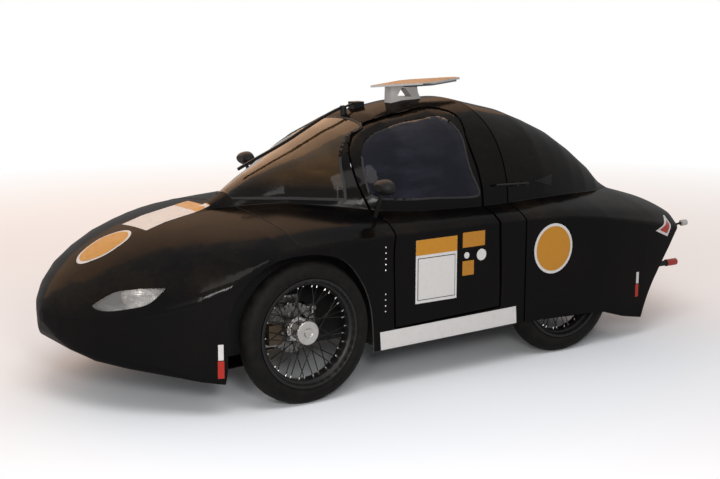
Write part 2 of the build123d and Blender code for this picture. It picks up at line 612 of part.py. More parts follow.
pylon_outline = [(-790, 1050), (-794, 1160), (-928, 1160), (-936, 1110), (-968, 1050)]
pylon_window = [(-824, 1098), (-848, 1134), (-868, 1134), (-902, 1094)]
with BuildPart() as roof_pylon:
    with BuildSketch(side_view(0)):
        Polygon(*[(station(x), z) for x, z in pylon_outline], align=None)
        Polygon(*[(station(x), z) for x, z in pylon_window], align=None, mode=Mode.SUBTRACT)
    extrude(amount=25, both=True)
    add(centre_outer, mode=Mode.SUBTRACT)
    add(roof_pod.part, mode=Mode.SUBTRACT)
    with BuildSketch(plate_plane):
        Rectangle(600, 300)
    extrude(amount=60, mode=Mode.SUBTRACT)
save(roof_pylon, "roof_pylon")

WIPER_Y = -30.0
wiper_line = [(-585, 1052), (-450, 1000), (-300, 925), (-160, 865), (-60, 822)]
with BuildPart() as wiper:
    with BuildLine() as wiper_path:
        Spline(*[(station(x), WIPER_Y, z + 12) for x, z in wiper_line])
    with BuildSketch(Plane(origin=wiper_path.line @ 0, z_dir=wiper_path.line % 0)):
        Rectangle(12, 8)
    sweep()
    rod((station(-580), WIPER_Y, 1000), (station(-580), WIPER_Y, 1068), 14)
    rod((station(-580), WIPER_Y, 1060), (station(-668), -70, 1074), 5)
    block((station(-700), -96, 1000), (station(-648), -48, 1078))
    add(centre_outer, mode=Mode.SUBTRACT)
save(wiper, "wiper")

MIRROR_Z = 800.0
MIRROR_Y = 560.0
for side in SIDES:
    face = Plane(origin=(station(-404), side * MIRROR_Y, MIRROR_Z), x_dir=(0, 1, 0), z_dir=(1, 0, 0))
    with BuildPart() as mirror_piece:
        rod((station(-386), side * 497, 664), (station(-386), side * 548, 780), 8)
        add(centre_outer, mode=Mode.SUBTRACT)
        for depth, half_wide, half_high in ((0, 58, 31), (26, 54, 28), (46, 32, 14)):
            with BuildSketch(face.offset(depth)):
                Ellipse(half_wide, half_high)
        loft()
        with BuildSketch(face):
            Ellipse(54, 27)
        extrude(amount=3, mode=Mode.SUBTRACT)
    save(mirror_piece, f"mirror_{side_name(side)}")

with BuildPart() as tail_lamps:
    for side in SIDES:
        rod((station(-1925), side * 505, 300), (station(-2030), side * 505, 300), 12)
        rod((station(-2000), side * 505, 300), (station(-2062), side * 505, 300), 16)
        rod((station(-2060), side * 462, 462), (station(-2135), side * 470, 470), 5)
        rod((station(-2128), side * 470, 470), (station(-2158), side * 470, 470), 14)
    add(rear_outer, mode=Mode.SUBTRACT)
save(tail_lamps, "tail_lamps")

LATCH_BAR_Y = 516.0
with BuildPart() as rear_latches:
    for side in SIDES:
        rod((station(-985), side * LATCH_BAR_Y, 752), (station(-1175), side * 498, 742), 5)
        rod((station(-1110), side * 460, 745), (station(-1110), side * 508, 745), 8)
        rod((station(-1165), side * 450, 742), (station(-1165), side * 503, 742), 8)
    add(rear_outer, mode=Mode.SUBTRACT)
save(rear_latches, "rear_latches")
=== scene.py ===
"""Looks for the urban concept car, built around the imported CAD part."""

import json
import math

import bmesh
import bpy
from mathutils import Matrix, Vector

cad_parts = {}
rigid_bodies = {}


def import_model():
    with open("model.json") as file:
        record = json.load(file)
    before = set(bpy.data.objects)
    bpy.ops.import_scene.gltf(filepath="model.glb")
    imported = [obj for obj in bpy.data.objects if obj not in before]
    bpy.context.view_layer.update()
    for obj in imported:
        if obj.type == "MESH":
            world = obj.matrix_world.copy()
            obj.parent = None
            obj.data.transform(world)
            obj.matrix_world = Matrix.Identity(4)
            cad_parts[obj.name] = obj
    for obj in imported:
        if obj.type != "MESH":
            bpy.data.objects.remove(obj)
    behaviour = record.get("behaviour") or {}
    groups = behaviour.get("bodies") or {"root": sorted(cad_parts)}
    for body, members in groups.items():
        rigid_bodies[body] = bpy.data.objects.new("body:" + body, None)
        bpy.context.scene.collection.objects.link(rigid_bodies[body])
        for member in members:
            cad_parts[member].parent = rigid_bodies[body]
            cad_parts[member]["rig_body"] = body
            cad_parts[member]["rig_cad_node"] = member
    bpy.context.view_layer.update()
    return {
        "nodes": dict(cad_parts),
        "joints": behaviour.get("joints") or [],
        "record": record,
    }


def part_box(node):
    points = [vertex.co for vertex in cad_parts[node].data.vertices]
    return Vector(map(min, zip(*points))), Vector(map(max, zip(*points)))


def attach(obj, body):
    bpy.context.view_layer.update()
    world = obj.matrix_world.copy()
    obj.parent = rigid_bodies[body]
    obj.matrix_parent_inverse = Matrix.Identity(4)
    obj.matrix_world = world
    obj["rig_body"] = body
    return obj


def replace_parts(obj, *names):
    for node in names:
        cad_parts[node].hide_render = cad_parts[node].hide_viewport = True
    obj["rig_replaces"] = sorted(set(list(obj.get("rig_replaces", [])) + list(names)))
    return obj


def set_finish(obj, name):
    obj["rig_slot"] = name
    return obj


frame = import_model()
nodes = frame["nodes"]
joint_at = {joint["name"]: Vector(joint["pos_m"]) for joint in frame["joints"] if "pos_m" in joint}
bpy.ops.object.select_all(action="DESELECT")

FRONT_AXLE = joint_at["spin_front_left"]
SIDES = {"left": 1, "right": -1}


def at(station, y, z):
    """A point in the car's frame from a station counted from the front axle, all in millimetres."""
    return Vector((FRONT_AXLE.x + station / 1000, y / 1000, z / 1000))


# ---------------------------------------------------------------- finishes
class Value:
    """One output in a finish's node tree, with its arithmetic written as plain operators."""

    def __init__(self, finish, socket):
        self.finish = finish
        self.socket = socket

    def _math(self, operation, first, second):
        return self.finish.add("ShaderNodeMath", {"operation": operation}, {0: first, 1: second})

    def __add__(self, other):
        return self._math("ADD", self, other)

    def __sub__(self, other):
        return self._math("SUBTRACT", self, other)

    def __rsub__(self, other):
        return self._math("SUBTRACT", other, self)

    def __mul__(self, other):
        return self._math("MULTIPLY", self, other)

    def __pow__(self, other):
        return self._math("POWER", self, other)


class Finish:
    """A material with a Principled shader, its constants on the shader's own sockets."""

    def __init__(self, name, **constants):
        self.material = bpy.data.materials.new(name)
        self.material.use_nodes = True
        self.tree = self.material.node_tree
        self.shader = self.tree.nodes["Principled BSDF"]
        for socket, value in constants.items():
            self.shader.inputs[socket.replace("_", " ").title().replace("Ior", "IOR")].default_value = value

    def add(self, kind, settings=None, inputs=None, output=0):
        """Adds a node: its settings first, then the values or links of its sockets."""
        node = self.tree.nodes.new(kind)
        for key, value in (settings or {}).items():
            if key == "stops":
                while len(node.color_ramp.elements) < len(value):
                    node.color_ramp.elements.new(0.5)
                for element, (place, shade) in zip(node.color_ramp.elements, value):
                    element.position = place
                    element.color = (shade, shade, shade, 1)
            else:
                setattr(node, key, value)
        for key, value in (inputs or {}).items():
            if isinstance(value, Value):
                self.tree.links.new(value.socket, node.inputs[key])
            else:
                node.inputs[key].default_value = value
        return Value(self, node.outputs[output])

    def place(self):
        return self.add("ShaderNodeTexCoord", output="Object")

    def part(self, axis):
        """One coordinate of the piece, in metres."""
        return self.add("ShaderNodeSeparateXYZ", None, {0: self.place()}, axis)

    def noise(self, scale, detail=3.0, roughness=0.5, stretch=(1, 1, 1)):
        where = self.add("ShaderNodeMapping", None, {"Vector": self.place(), "Scale": stretch})
        return self.add("ShaderNodeTexNoise", None, {"Vector": where, "Scale": scale, "Detail": detail,
                                                     "Roughness": roughness})

    def ramp(self, value, *stops):
        return self.add("ShaderNodeValToRGB", {"stops": stops}, {0: value})

    def mix(self, factor, first, second):
        """Two colours mixed by a factor."""
        first = first if isinstance(first, Value) else (*first, 1)
        second = second if isinstance(second, Value) else (*second, 1)
        return self.add("ShaderNodeMix", {"data_type": "RGBA"}, {0: factor, 6: first, 7: second}, 2)

    def set(self, socket, value):
        self.tree.links.new(value.socket, self.shader.inputs[socket])
        return self

    def bump(self, height, strength, distance):
        return self.set("Normal", self.add("ShaderNodeBump", None, {"Height": height, "Strength": strength,
                                                                    "Distance": distance}))


def body_lacquer(name, dust_and_warm_sheen_share, gloss):
    """Black lacquer over moulded composite, with settled dust and fine rubbed marks; the dust's golden tone on
    upward faces is also a painted warm sheen.
    """
    finish = Finish(name, specular_ior_level=0, coat_weight=0.13, coat_roughness=0.14)
    cloudy = finish.ramp(finish.noise(3.2, 5, 0.6), (0.42, 0), (0.72, 1))
    fine = finish.ramp(finish.noise(60, 4, 0.65), (0.45, 0), (0.75, 1))
    rubbed = finish.ramp(finish.noise(26, 3, 0.5, (1, 1, 5)), (0.62, 0), (0.74, 1))
    up = finish.add("ShaderNodeSeparateXYZ", None, {0: finish.add("ShaderNodeNewGeometry", output="Normal")}, 2)
    upward = finish.ramp(up, (0.1, 0.12), (0.8, 1))
    # Settled dust, mottled and gathered on upward faces; its golden colour also paints a warm sheen there.
    dust_and_warm_sheen = cloudy * (fine * 0.6 + 0.4) * upward * dust_and_warm_sheen_share
    speck = finish.ramp(finish.noise(340, 2, 0.6), (0.70, 0), (0.80, 1)) * 0.12
    finish.set("Base Color", finish.mix(dust_and_warm_sheen + speck, (0.0022, 0.0019, 0.0020), (0.032, 0.020, 0.010)))
    finish.set("Roughness", dust_and_warm_sheen * 0.5 + rubbed * 0.10 + gloss)
    finish.bump(fine * 0.3 + cloudy * 0.7, 0.04, 0.002)
    return finish.material


def tinted_glass(name, tint_and_reflection, alpha, shine=0.12, smear=0.1, dark_below=None):
    """A clear moulded panel with a faint tone and faint smears, darker below a given height where one is given;
    on the windshield the amber tone is a painted warm reflection.
    """
    finish = Finish(name, specular_ior_level=shine)
    smears = finish.ramp(finish.noise(7, 5, 0.6, (1, 1, 2.5)), (0.45, 0), (0.8, 1))
    pale = tuple(part * 1.8 + 0.004 for part in tint_and_reflection)
    tone = finish.mix(smears, tint_and_reflection, pale)
    if dark_below is not None:
        rise = finish.ramp((finish.part(2) - dark_below + 0.03) * 16, (0.0, 0.04), (1.0, 1))
        tone = finish.mix(rise, (0.002, 0.0018, 0.0016), tone)
    finish.set("Base Color", tone)
    finish.set("Roughness", smears * 0.12 + 0.05)
    finish.set("Alpha", smears * smear + alpha)
    return finish.material


def metal(name, tone, roughness, stretch=(1, 1, 1)):
    """Turned or milled metal with fine tool marks and a little dirt."""
    finish = Finish(name)
    grain = finish.noise(260, 2, 0.5, stretch)
    dirt = finish.ramp(finish.noise(28, 4, 0.6), (0.5, 0), (0.8, 1))
    finish.set("Base Color", finish.mix(dirt * 0.6, tone, tuple(0.35 * part for part in tone)))
    finish.set("Roughness", grain * 0.16 + dirt * 0.2 + roughness)
    finish.set("Metallic", 1 - dirt * 0.35)
    finish.bump(grain, 0.12, 0.0004)
    return finish.material


def moulded(name, tone, roughness, grain_size=700, soil=0.3, shine=0.5):
    """Moulded plastic or paint with an even grain."""
    finish = Finish(name, specular_ior_level=shine)
    grain = finish.noise(grain_size, 2, 0.5)
    soiled = finish.ramp(finish.noise(14, 4, 0.6), (0.48, 0), (0.78, 1))
    worn = tuple(0.55 * part + 0.004 for part in tone)
    finish.set("Base Color", finish.mix(soiled * soil, tone, worn))
    finish.set("Roughness", grain * 0.12 + soiled * 0.12 + roughness)
    finish.bump(grain, 0.15, 0.0004)
    return finish.material


def woven_composite(name):
    """Bare woven composite with its twill showing through dull resin."""
    finish = Finish(name, specular_ior_level=0.15)
    x, y, z = (finish.part(axis) for axis in range(3))
    warp = finish.add("ShaderNodeMath", {"operation": "SINE"}, {0: (x + y + z) * 1600})
    weft = finish.add("ShaderNodeMath", {"operation": "SINE"}, {0: (x - y - z) * 1600})
    weave = warp * weft * 0.5 + 0.5
    finish.set("Base Color", finish.mix(weave, (0.004, 0.004, 0.0045), (0.014, 0.0135, 0.013)))
    finish.set("Roughness", finish.noise(30) * 0.2 + 0.42)
    finish.bump(weave, 0.2, 0.0004)
    return finish.material


def tyre_rubber(name):
    """Slick rubber, greyed by road dust."""
    finish = Finish(name, specular_ior_level=0.09)
    grime = finish.ramp(finish.noise(24, 5, 0.65), (0.4, 0), (0.75, 1))
    grit = finish.noise(420, 3, 0.6)
    finish.set("Base Color", finish.mix(grime * 0.6, (0.0030, 0.0027, 0.0026), (0.012, 0.010, 0.008)))
    finish.set("Roughness", grit * 0.2 + grime * 0.15 + 0.5)
    finish.bump(grit, 0.25, 0.0006)
    return finish.material


def printed_film(name, tone, roughness=0.38):
    """Self-adhesive film: an even colour, faintly soiled."""
    finish = Finish(name, specular_ior_level=0.2)
    soiled = finish.ramp(finish.noise(40, 4, 0.6), (0.5, 0), (0.85, 1))
    finish.set("Base Color", finish.mix(soiled * 0.25, tone, tuple(0.6 * part for part in tone)))
    finish.set("Roughness", soiled * 0.2 + roughness)
    return finish.material


lacquer = body_lacquer("black_lacquer", 0.55, 0.22)
door_lacquer = body_lacquer("door_lacquer", 0.4, 0.27)
window = tinted_glass("window_tint", (0.0055, 0.0055, 0.0100), 0.90, 0.10, 0.05)
# The windshield's amber tone is a painted warm reflection of the sky, and it turns near black below 0.80 m.
windshield_clear = tinted_glass("windshield_clear", (0.032, 0.0165, 0.0045), 0.78, 0.14, 0.06, 0.80)
lamp_clear = tinted_glass("lamp_cover", (0.30, 0.29, 0.28), 0.22, 0.5, 0.35)
aluminium = metal("turned_aluminium", (0.40, 0.385, 0.37), 0.28)
bright_steel = metal("bright_steel", (0.60, 0.58, 0.55), 0.2)
gold = metal("gold_anodised", (0.11, 0.082, 0.055), 0.45)
disc_steel = metal("disc_steel", (0.16, 0.155, 0.15), 0.3)
# A lighter tone that paints the highlight along the cut arch lips.
lip_highlight = moulded("lip_highlight", (0.060, 0.056, 0.052), 0.6, 90, 0.8, 0.2)
black_metal = moulded("rim_black", (0.006, 0.0055, 0.0055), 0.34, shine=0.2)
motor_metal = metal("cast_housing", (0.22, 0.22, 0.22), 0.5)
frame_paint = moulded("frame_paint", (0.010, 0.010, 0.011), 0.35, shine=0.2)
trim = moulded("trim_black", (0.006, 0.006, 0.006), 0.42, shine=0.15)
gasket = moulded("gasket_black", (0.004, 0.004, 0.004), 0.55, shine=0.1)
gasket_grey = moulded("gasket_grey", (0.020, 0.019, 0.019), 0.6, shine=0.15)
spoke_steel = metal("spoke_steel", (0.022, 0.021, 0.020), 0.34)
pod_grey = moulded("pod_grey", (0.36, 0.345, 0.335), 0.45, shine=0.2)
# Amber for the roof plate's upward faces, a painted warm reflection on grey plastic.
pod_warm_reflection = moulded("pod_warm_reflection", (0.24, 0.10, 0.022), 0.4, shine=0.2)
rubber = tyre_rubber("tyre_rubber")
composite = woven_composite("woven_composite")
white_film = printed_film("white_film", (0.46, 0.445, 0.435))
amber_film = printed_film("amber_film", (0.36, 0.155, 0.012))
orange_film = printed_film("orange_film", (0.31, 0.13, 0.012))
red_film = printed_film("red_film", (0.28, 0.016, 0.008))
black_film = printed_film("black_film", (0.012, 0.012, 0.012))
red_lens = moulded("red_lens", (0.24, 0.012, 0.008), 0.15, 300, shine=0.3)
clear_lens = moulded("clear_lens", (0.30, 0.29, 0.28), 0.15, 300, shine=0.5)
reflector = metal("lamp_reflector", (0.75, 0.73, 0.70), 0.12)

SLOT_FINISH = {
    "body_black": lacquer, "window_clear": window, "lamp_clear": lamp_clear, "composite_black": composite,
    "frame_metal": frame_paint, "motor_metal": motor_metal, "pod_plastic": pod_grey, "trim_black": trim,
    "lamp_red": red_lens, "bare_aluminium": aluminium, "gold_aluminium": gold,
    "bright_steel": bright_steel, "tyre_rubber": rubber,
}
for part in frame["record"]["subparts"]:
    mesh = nodes[part["node"]].data
    mesh.materials.clear()
    mesh.materials.append(disc_steel if "brake_disc" in part["node"] else SLOT_FINISH[part["material_slot"]])


# ---------------------------------------------------------------- making and placing pieces
def choose(*pieces):
    """Selects these pieces alone, the first of them active."""
    bpy.ops.object.select_all(action="DESELECT")
    for piece in pieces:
        piece.select_set(True)
    bpy.context.view_layer.objects.active = pieces[0]


def duplicate_of(piece):
    """A loose copy of a piece, with none of its marks."""
    choose(piece)
    bpy.ops.object.duplicate()
    copy = bpy.context.active_object
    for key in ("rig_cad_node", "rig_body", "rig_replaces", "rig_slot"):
        if key in copy:
            del copy[key]
    copy.parent = None
    return copy


def face_towards(piece, way):
    """Turns the faces of an open sheet over where its first face looks away from a direction."""
    if piece.data.polygons[0].normal.dot(way) < 0:
        bpy.ops.object.mode_set(mode="EDIT")
        bpy.ops.mesh.select_all(action="SELECT")
        bpy.ops.mesh.flip_normals()
        bpy.ops.object.mode_set(mode="OBJECT")


def settle(piece, name, body, finish, slot):
    """Names a finished piece, puts its place into its mesh and lets it ride on a body."""
    choose(piece)
    bpy.ops.object.transform_apply(location=True, rotation=True, scale=True)
    piece.name = name
    piece.data.materials.clear()
    piece.data.materials.append(finish)
    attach(piece, body)
    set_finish(piece, slot)
    return piece


def apply_modifier(piece, kind, **settings):
    modifier = piece.modifiers.new(kind.lower(), kind)
    for key, value in settings.items():
        setattr(modifier, key, value)
    choose(piece)
    bpy.ops.object.modifier_apply(modifier=modifier.name)


def smooth(piece, angle):
    choose(piece)
    bpy.ops.object.shade_smooth_by_angle(angle=math.radians(angle))


def joined(parts, name, body, finish, slot, angle=35):
    """Several solids kept as one piece."""
    choose(*parts)
    bpy.ops.object.transform_apply(location=True, rotation=True, scale=True)
    bpy.ops.object.join()
    piece = bpy.context.active_object
    smooth(piece, angle)
    return settle(piece, name, body, finish, slot)


MERGE_DISTANCE = 0.00002


def smooth_skin(node, finish, slot, angle=24):
    """A copy of a CAD panel with its triangles merged, so that light runs over it unbroken."""
    body = nodes[node]["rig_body"]
    skin = duplicate_of(nodes[node])
    bpy.ops.object.mode_set(mode="EDIT")
    bpy.ops.mesh.select_all(action="SELECT")
    bpy.ops.mesh.remove_doubles(threshold=MERGE_DISTANCE)
    bpy.ops.object.mode_set(mode="OBJECT")
    smooth(skin, angle)
    apply_modifier(skin, "WEIGHTED_NORMAL", mode="FACE_AREA", weight=80, keep_sharp=True)
    settle(skin, f"{node}_skin", body, finish, slot)
    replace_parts(skin, node)
    return skin


skins = {}
for node in ("nose_shell", "centre_body", "rear_shell"):
    skins[node] = smooth_skin(node, lacquer, "body_black")
for side in SIDES:
    skins[f"door_{side}"] = smooth_skin(f"door_{side}", door_lacquer, "body_black")
    skins[f"door_glass_{side}"] = smooth_skin(f"door_glass_{side}", window, "window_clear")
    skins[f"headlamp_{side}"] = smooth_skin(f"headlamp_{side}", lamp_clear, "lamp_clear")
skins["windshield"] = smooth_skin("windshield", windshield_clear, "window_clear")

# The roof plate is grey, with a painted warm reflection in amber on its upward faces.
UPWARD = 0.7
skins["roof_pod"] = smooth_skin("roof_pod", pod_grey, "pod_plastic", 30)
skins["roof_pod"].data.materials.append(pod_warm_reflection)
for face in skins["roof_pod"].data.polygons:
    face.material_index = int(face.normal.z > UPWARD)

# The low tail lamps are red and the high ones clear, all on black stalks.
LAMPS_SPLIT_Z = 0.39
LOW_LAMP_FRONT = at(-2001, 0, 0).x
HIGH_LAMP_FRONT = at(-2127, 0, 0).x
lamps = smooth_skin("tail_lamps", red_lens, "lamp_red", 30)
lamps.data.materials.append(trim)
lamps.data.materials.append(clear_lens)
for face in lamps.data.polygons:
    low = face.center.z < LAMPS_SPLIT_Z
    front = LOW_LAMP_FRONT if low else HIGH_LAMP_FRONT
    reach = [lamps.data.vertices[corner].co.x for corner in face.vertices]
    if min(reach) >= front or max(reach) > front + 0.01:
        face.material_index = 1
    elif not low:
        face.material_index = 2

# The cut lips of the wheel arches are coloured lighter, a painted highlight along each lip.
ARCH_REACH = 0.40
LIP_INNER_Y = 0.56
LIP_OUTER_Y = 0.64
for node in ("nose_shell", "centre_body"):
    skins[node].data.materials.append(lip_highlight)
    for face in skins[node].data.polygons:
        spoke = Vector((face.center.x - FRONT_AXLE.x, 0, face.center.z - FRONT_AXLE.z))
        is_cut = abs(face.normal.y) < 0.35 and spoke.dot(face.normal) < 0
        if is_cut and spoke.length < ARCH_REACH and LIP_INNER_Y < abs(face.center.y) < LIP_OUTER_Y:
            face.material_index = 1

# ---------------------------------------------------------------- camera, floor and light
LENS_MM = 71.75
EYE = at(2753.7, 5160.1, 1628.8)
HEADING = 0.582
PITCH = 0.1838
ROLL = -0.0072
ahead = Vector((-math.sin(HEADING) * math.cos(PITCH), -math.cos(HEADING) * math.cos(PITCH), -math.sin(PITCH)))
level = Vector((-math.cos(HEADING), math.sin(HEADING), 0))
upright = level.cross(ahead)
right = level * math.cos(ROLL) + upright * math.sin(ROLL)
above = upright * math.cos(ROLL) - level * math.sin(ROLL)
camera_data = bpy.data.cameras.new("camera")
camera_data.lens = LENS_MM
camera_data.sensor_width = 36
camera_data.clip_end = 100
camera = bpy.data.objects.new("camera", camera_data)
turn = Matrix((right, above, -ahead)).transposed()
camera.matrix_world = Matrix.Translation(EYE) @ turn.to_4x4()
bpy.context.scene.collection.objects.link(camera)
bpy.context.scene.camera = camera
bpy.context.scene.view_settings.view_transform = "Standard"

world = bpy.data.worlds.new("studio")
bpy.context.scene.world = world
world.use_nodes = True


def backdrop_mix(tree, dim, output):
    """White where a camera, glossy or transmitted ray meets the backdrop, and the given shader elsewhere."""
    rays = tree.nodes.new("ShaderNodeLightPath")
    total = rays.outputs["Is Camera Ray"]
    for kind in ("Is Glossy Ray", "Is Transmission Ray"):
        either = tree.nodes.new("ShaderNodeMath")
        either.operation = "MAXIMUM"
        tree.links.new(total, either.inputs[0])
        tree.links.new(rays.outputs[kind], either.inputs[1])
        total = either.outputs[0]
    blended = tree.nodes.new("ShaderNodeMixShader")
    tree.links.new(dim, blended.inputs[1])
    tree.links.new(blended.outputs[0], output)
    return blended, total


SKY_STRENGTH = 0.62
background = world.node_tree.nodes["Background"]
background.inputs["Color"].default_value = (0.95, 0.97, 1, 1)
background.inputs["Strength"].default_value = SKY_STRENGTH
white = world.node_tree.nodes.new("ShaderNodeBackground")
white.inputs["Color"].default_value = (1, 1, 1, 1)
blended, seen = backdrop_mix(world.node_tree, background.outputs[0],
                             world.node_tree.nodes["World Output"].inputs["Surface"])
world.node_tree.links.new(seen, blended.inputs[0])
world.node_tree.links.new(white.outputs[0], blended.inputs[2])

FLOOR_RADIUS = 60
FADE_START = 3
FADE_SPAN = 40
bpy.ops.mesh.primitive_circle_add(vertices=96, radius=FLOOR_RADIUS, fill_type="NGON", location=(0, 0, 0))
floor = bpy.context.active_object
floor.name = "floor"
pale = Finish("pale_floor", base_color=(0.80, 0.82, 0.85, 1), roughness=0.95, specular_ior_level=0)
away_squared = pale.part(0) ** 2 + pale.part(1) ** 2
far = pale.ramp((away_squared - FADE_START) * (1 / FADE_SPAN), (0.0, 0), (1.0, 1))
glow = pale.tree.nodes.new("ShaderNodeEmission")
glow.inputs["Color"].default_value = (1, 1, 1, 1)
blended, seen = backdrop_mix(pale.tree, pale.shader.outputs[0],
                             pale.tree.nodes["Material Output"].inputs["Surface"])
pale.tree.links.new(glow.outputs[0], blended.inputs[2])
pale.tree.links.new((Value(pale, seen) * far).socket, blended.inputs[0])
floor.data.materials.append(pale.material)


def area_light(name, place, aim, width, height, power, colour):
    """A soft lamp at a place, facing a point, that no camera ray sees."""
    lamp = bpy.data.lights.new(name, "AREA")
    lamp.shape = "RECTANGLE"
    lamp.size = width
    lamp.size_y = height
    lamp.energy = power
    lamp.color = colour
    light = bpy.data.objects.new(name, lamp)
    bpy.context.scene.collection.objects.link(light)
    light.location = place
    light.rotation_euler = (Vector(aim) - Vector(place)).to_track_quat("-Z", "Y").to_euler()
    light.visible_camera = False


area_light("key", (4.3, 4.5, 1.9), (0.6, 0.4, 0.4), 1.3, 1.6, 85, (1, 0.97, 0.93))
area_light("glint", (2.6, 4.55, 1.95), (1.1, 0.57, 0.45), 0.6, 0.6, 75, (1, 0.98, 0.96))
area_light("top", (2.0, 3.0, 5.5), (0, 0, 0.3), 3.0, 3.0, 130, (1, 0.97, 0.94))
area_light("warm_back", (-1.8, -7.6, 5.2), (0, 0, 0.7), 13.0, 6.0, 420, (1, 0.42, 0.07))

# ---------------------------------------------------------------- films and rims on the skin
PRESS = {
    "left": {"use_project_y": True, "use_negative_direction": True, "use_positive_direction": False},
    "right": {"use_project_y": True, "use_negative_direction": False, "use_positive_direction": True},
    "top": {"use_project_z": True, "use_negative_direction": True, "use_positive_direction": False},
}
OUTWARD = {"left": Vector((0, 1, 0)), "right": Vector((0, -1, 0)), "top": Vector((0, 0, 1))}


def film(name, corners, side, panel, finish, body, round_edge=False, lift=0.0004, thickness=0.0009):
    """A thin film pressed onto a panel of the body, laid over four corners or the oval inside them."""
    if round_edge:
        bpy.ops.mesh.primitive_circle_add(vertices=40, radius=1, fill_type="TRIFAN")
    else:
        bpy.ops.mesh.primitive_plane_add(size=2)
    piece = bpy.context.active_object
    bpy.ops.object.mode_set(mode="EDIT")
    bpy.ops.mesh.select_all(action="SELECT")
    bpy.ops.mesh.subdivide(number_cuts=3 if round_edge else 9)
    bpy.ops.object.mode_set(mode="OBJECT")
    rear_low, front_low, front_high, rear_high = corners
    for vertex in piece.data.vertices:
        u = (vertex.co.x + 1) / 2
        v = (vertex.co.y + 1) / 2
        low = rear_low.lerp(front_low, u)
        high = rear_high.lerp(front_high, u)
        vertex.co = low.lerp(high, v)
    apply_modifier(piece, "SHRINKWRAP", wrap_method="PROJECT", target=skins[panel], offset=lift, **PRESS[side])
    face_towards(piece, OUTWARD[side])
    apply_modifier(piece, "SOLIDIFY", thickness=thickness, offset=1)
    smooth(piece, 40)
    return settle(piece, name, body, finish, "body_black")


BESIDE = 750
ABOVE = 900
FIRST_LAYER = 0.0012
SECOND_LAYER = 0.0020
DISC_LAYER = 0.0014


def side_corners(rear, front, low, high):
    """Corners of an upright rectangle beside the car, ready to be pressed onto it."""
    return [at(rear, BESIDE, low), at(front, BESIDE, low), at(front, BESIDE, high), at(rear, BESIDE, high)]


def top_corners(rear, front, half_width):
    """Corners of a level rectangle above the car's middle line, ready to be pressed onto it."""
    return [at(rear, half_width, ABOVE), at(front, half_width, ABOVE), at(front, -half_width, ABOVE),
            at(rear, -half_width, ABOVE)]


DOOR_FILMS = [
    ("number_panel", (-699, -495, 328, 586), white_film, {}),
    ("number_panel_header", (-699, -495, 524, 586), amber_film, {"lift": FIRST_LAYER}),
    ("number_panel_line", (-690, -504, 340, 512), black_film, {"lift": FIRST_LAYER}),
    ("number_panel_field", (-687, -507, 343, 509), white_film, {"lift": SECOND_LAYER}),
    ("door_film_upper", (-841, -728, 531, 593), orange_film, {}),
    ("door_film_lower", (-786, -728, 415, 475), orange_film, {}),
    ("door_disc_small", (-762, -736, 485, 511), white_film, {"round_edge": True}),
    ("door_disc_large", (-849, -801, 469, 517), white_film, {"round_edge": True}),
]
for name, extent, finish, layer in DOOR_FILMS:
    film(name, side_corners(*extent), "left", "door_left", finish, "left_door", **layer)

film("sill_film", [at(-1019, BESIDE, 177), at(-331, BESIDE, 162), at(-326, BESIDE, 236), at(-1014, BESIDE, 250)],
     "left", "centre_body", white_film, "body")
film("rear_disc_rim", side_corners(-1322, -1108, 366, 582), "left", "rear_shell", white_film, "rear_lid", True)
film("rear_disc", side_corners(-1310, -1120, 378, 570), "left", "rear_shell", amber_film, "rear_lid", True,
     lift=DISC_LAYER)

HEADER_SHARE = 0.22
nose_corners = [at(101, 23, ABOVE), at(413, 80, ABOVE), at(421, -131, ABOVE), at(81, -214, ABOVE)]
header_corners = [nose_corners[0], nose_corners[0].lerp(nose_corners[1], HEADER_SHARE),
                  nose_corners[3].lerp(nose_corners[2], HEADER_SHARE), nose_corners[3]]
film("nose_panel", nose_corners, "top", "nose_shell", white_film, "body")
film("nose_panel_header", header_corners, "top", "nose_shell", amber_film, "body", lift=FIRST_LAYER)
film("nose_disc_rim", top_corners(448, 668, 95), "top", "nose_shell", white_film, "body", True)
film("nose_disc", top_corners(460, 656, 85), "top", "nose_shell", amber_film, "body", True, lift=DISC_LAYER)

LIFT_MARKS = [
    ("front_lift_strip", (355, 378, 155, 222), "nose_shell", red_film, "body"),
    ("front_lift_tip", (357, 376, 225, 285), "nose_shell", white_film, "body"),
    ("rear_lift_strip", (-1758, -1738, 187, 245), "rear_shell", red_film, "rear_lid"),
    ("rear_lift_tip", (-1758, -1742, 248, 300), "rear_shell", white_film, "rear_lid"),
]
for name, extent, panel, finish, body in LIFT_MARKS:
    film(name, side_corners(*extent), "left", panel, finish, body)


CABIN_CORE_Z = 0.62


def rim_band(skin, name, width, thickness, body):
    """A raised grey band round the edge of a clear panel, following its curve."""
    band = duplicate_of(skin)
    middle = sum((vertex.co for vertex in band.data.vertices), Vector()) / len(band.data.vertices)
    core = Vector((middle.x, 0, CABIN_CORE_Z))
    bpy.ops.object.mode_set(mode="EDIT")
    mesh = bmesh.from_edit_mesh(band.data)
    for face in mesh.faces:
        away = face.calc_center_median() - core
        away.x *= 0.3
        face.select_set(face.normal.dot(away.normalized()) < 0.45)
    bmesh.update_edit_mesh(band.data)
    bpy.ops.mesh.delete(type="FACE")
    bpy.ops.mesh.select_all(action="SELECT")
    bpy.ops.mesh.inset(thickness=width, depth=0, use_boundary=True, use_even_offset=True)
    bpy.ops.mesh.delete(type="FACE")
    bpy.ops.mesh.select_all(action="SELECT")
    bpy.ops.mesh.delete_loose()
    bpy.ops.object.mode_set(mode="OBJECT")
    apply_modifier(band, "SOLIDIFY", thickness=thickness, offset=1)
    smooth(band, 40)
    return settle(band, name, body, gasket_grey, "trim_black")


rim_band(skins["windshield"], "windshield_rim", 0.011, 0.0016, "body")
for side in SIDES:
    rim_band(skins[f"door_glass_{side}"], f"window_rim_{side}", 0.009, 0.0014, f"{side}_door")


